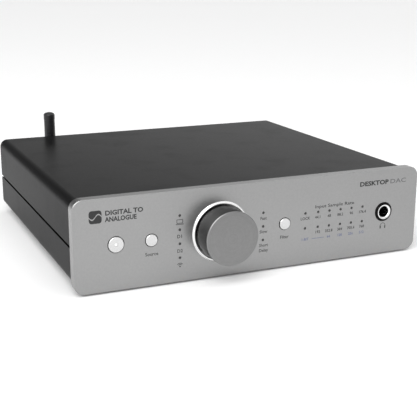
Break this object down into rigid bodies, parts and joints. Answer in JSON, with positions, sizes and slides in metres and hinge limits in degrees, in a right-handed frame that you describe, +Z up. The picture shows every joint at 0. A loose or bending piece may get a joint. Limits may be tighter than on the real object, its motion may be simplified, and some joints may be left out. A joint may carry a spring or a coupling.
{
  "type": "desktop dac",
  "caption": "Flat desktop converter and headphone amplifier with a big volume knob, push buttons, indicator dots, a headphone socket, rear sockets and a folding antenna.",
  "frame": {"origin": "on the table under the middle of the whole unit, with the knob and the antenna", "axes": "+X to the right as seen from the front, -Y towards the user, +Z up"},
  "size_m": [0.215, 0.2255, 0.0659],
  "materials": {
    "antenna_hinge_pin": "turned",
    "antenna_knuckle": "moulded",
    "antenna_lead": "jacket",
    "antenna_lock_nut": "gold plate",
    "antenna_mast": "satin",
    "antenna_nut": "black plate",
    "antenna_socket": "gold plate",
    "balanced_output_contacts": "silver plate",
    "balanced_output_screws": "black oxide",
    "balanced_output_shells": "moulded",
    "base_screws": "black oxide",
    "board_pillars": "nickel plate",
    "board_screws": "zinc plate",
    "bottom_cover": "satin dark grey anodising",
    "button_switches": "moulded",
    "circuit_chips": "moulded",
    "electrolytic_capacitors": "sleeved",
    "encoder_body": "moulded",
    "encoder_nut": "nickel plate",
    "encoder_shaft": "turned",
    "feet": "matte",
    "film_capacitors": "moulded",
    "filter_button": "bright",
    "front_board": "solder mask",
    "front_bracket": "bright zinc plate",
    "front_panel": "satin grey anodising",
    "heat_sink": "black anodising",
    "indicator_lights": "moulded",
    "knob_cap": "satin grey anodising, turned",
    "knob_hub": "moulded",
    "knob_trim_ring": "polished",
    "light_pipes": "smoked",
    "main_board": "solder mask",
    "optical_housings": "moulded",
    "optical_shutter_one": "moulded",
    "optical_shutter_two": "moulded",
    "output_relays": "moulded",
    "panel_screws": "zinc plate",
    "phones_bushing": "polished",
    "phones_contacts": "tin plate",
    "phones_housing": "moulded",
    "phono_blocks": "moulded",
    "phono_centres": "gold plate",
    "phono_insulators": "moulded, white, red and black",
    "phono_shells": "gold plate",
    "power_button": "bright",
    "power_inlet_body": "moulded",
    "power_inlet_pin": "nickel plate",
    "power_lens": "clear",
    "radio_module": "tin plate",
    "rear_panel": "satin black paint",
    "rear_screws": "black oxide",
    "ribbon_cable": "flat cable",
    "ribbon_sockets": "moulded",
    "source_button": "bright",
    "top_cover": "satin dark grey anodising",
    "usb_insulator": "moulded",
    "usb_shell": "nickel plate",
    "voltage_regulators": "moulded"
  },
  "bodies": {
    "case": {"antenna_lead": "antenna_lead", "antenna_lock_nut": "antenna_lock_nut", "antenna_nut": "antenna_nut", "antenna_socket": "antenna_socket", "balanced_output_contacts": "balanced_output_contacts", "balanced_output_screws": "balanced_output_screws", "balanced_output_shells": "balanced_output_shells", "base_screws": "base_screws", "board_pillars": "board_pillars", "board_screws": "board_screws", "bottom_cover": "bottom_cover", "button_switches": "button_switches", "circuit_chips": "circuit_chips", "electrolytic_capacitors": "electrolytic_capacitors", "encoder_body": "encoder_body", "encoder_nut": "encoder_nut", "feet": "feet", "film_capacitors": "film_capacitors", "front_board": "front_board", "front_bracket": "front_bracket", "front_panel": "front_panel", "heat_sink": "heat_sink", "indicator_lights": "indicator_lights", "knob_trim_ring": "knob_trim_ring", "light_pipes": "light_pipes", "main_board": "main_board", "optical_housings": "optical_housings", "output_relays": "output_relays", "panel_screws": "panel_screws", "phones_bushing": "phones_bushing", "phones_contacts": "phones_contacts", "phones_housing": "phones_housing", "phono_blocks": "phono_blocks", "phono_centres": "phono_centres", "phono_insulators": "phono_insulators", "phono_shells": "phono_shells", "power_inlet_body": "power_inlet_body", "power_inlet_pin": "power_inlet_pin", "radio_module": "radio_module", "rear_panel": "rear_panel", "rear_screws": "rear_screws", "ribbon_cable": "ribbon_cable", "ribbon_sockets": "ribbon_sockets", "top_cover": "top_cover", "usb_insulator": "usb_insulator", "usb_shell": "usb_shell", "voltage_regulators": "voltage_regulators"},
    "knob": {"knob_cap": "knob_cap", "knob_hub": "knob_hub", "encoder_shaft": "encoder_shaft"},
    "power_button": {"power_button": "power_button", "power_lens": "power_lens"},
    "source_button": {"source_button": "source_button"},
    "filter_button": {"filter_button": "filter_button"},
    "optical_shutter_one": {"optical_shutter_one": "optical_shutter_one"},
    "optical_shutter_two": {"optical_shutter_two": "optical_shutter_two"},
    "antenna_knuckle": {"antenna_knuckle": "antenna_knuckle", "antenna_hinge_pin": "antenna_hinge_pin"},
    "antenna_mast": {"antenna_mast": "antenna_mast"}
  },
  "joints": [
    {"name": "knob_turn", "type": "hinge", "parent": "case", "child": "knob", "pos_m": [-0.0228, -0.11275, 0.027], "axis": [0, 1, 0], "continuous": true},
    {"name": "power_press", "type": "slide", "parent": "case", "child": "power_button", "axis": [0, 1, 0], "range_m": [0, 0.0006], "stiffness_N_per_m": 400, "springref_m": -0.002},
    {"name": "source_press", "type": "slide", "parent": "case", "child": "source_button", "axis": [0, 1, 0], "range_m": [0, 0.0006], "stiffness_N_per_m": 400, "springref_m": -0.002},
    {"name": "filter_press", "type": "slide", "parent": "case", "child": "filter_button", "axis": [0, 1, 0], "range_m": [0, 0.0006], "stiffness_N_per_m": 400, "springref_m": -0.002},
    {"name": "shutter_one_open", "type": "hinge", "parent": "case", "child": "optical_shutter_one", "pos_m": [-0.028, 0.09155, 0.0219], "axis": [-1, 0, 0], "range_deg": [0, 85], "stiffness_Nm_per_rad": 0.0002, "springref_deg": -20.05},
    {"name": "shutter_two_open", "type": "hinge", "parent": "case", "child": "optical_shutter_two", "pos_m": [-0.008, 0.09155, 0.0219], "axis": [-1, 0, 0], "range_deg": [0, 85], "stiffness_Nm_per_rad": 0.0002, "springref_deg": -20.05},
    {"name": "antenna_swivel", "type": "hinge", "parent": "case", "child": "antenna_knuckle", "pos_m": [-0.0673, 0.10875, 0.03], "axis": [0, 1, 0], "range_deg": [-120, 120]},
    {"name": "antenna_fold", "type": "hinge", "parent": "antenna_knuckle", "child": "antenna_mast", "pos_m": [-0.0673, 0.10875, 0.03], "axis": [-1, 0, 0], "range_deg": [0, 90]}
  ]
}
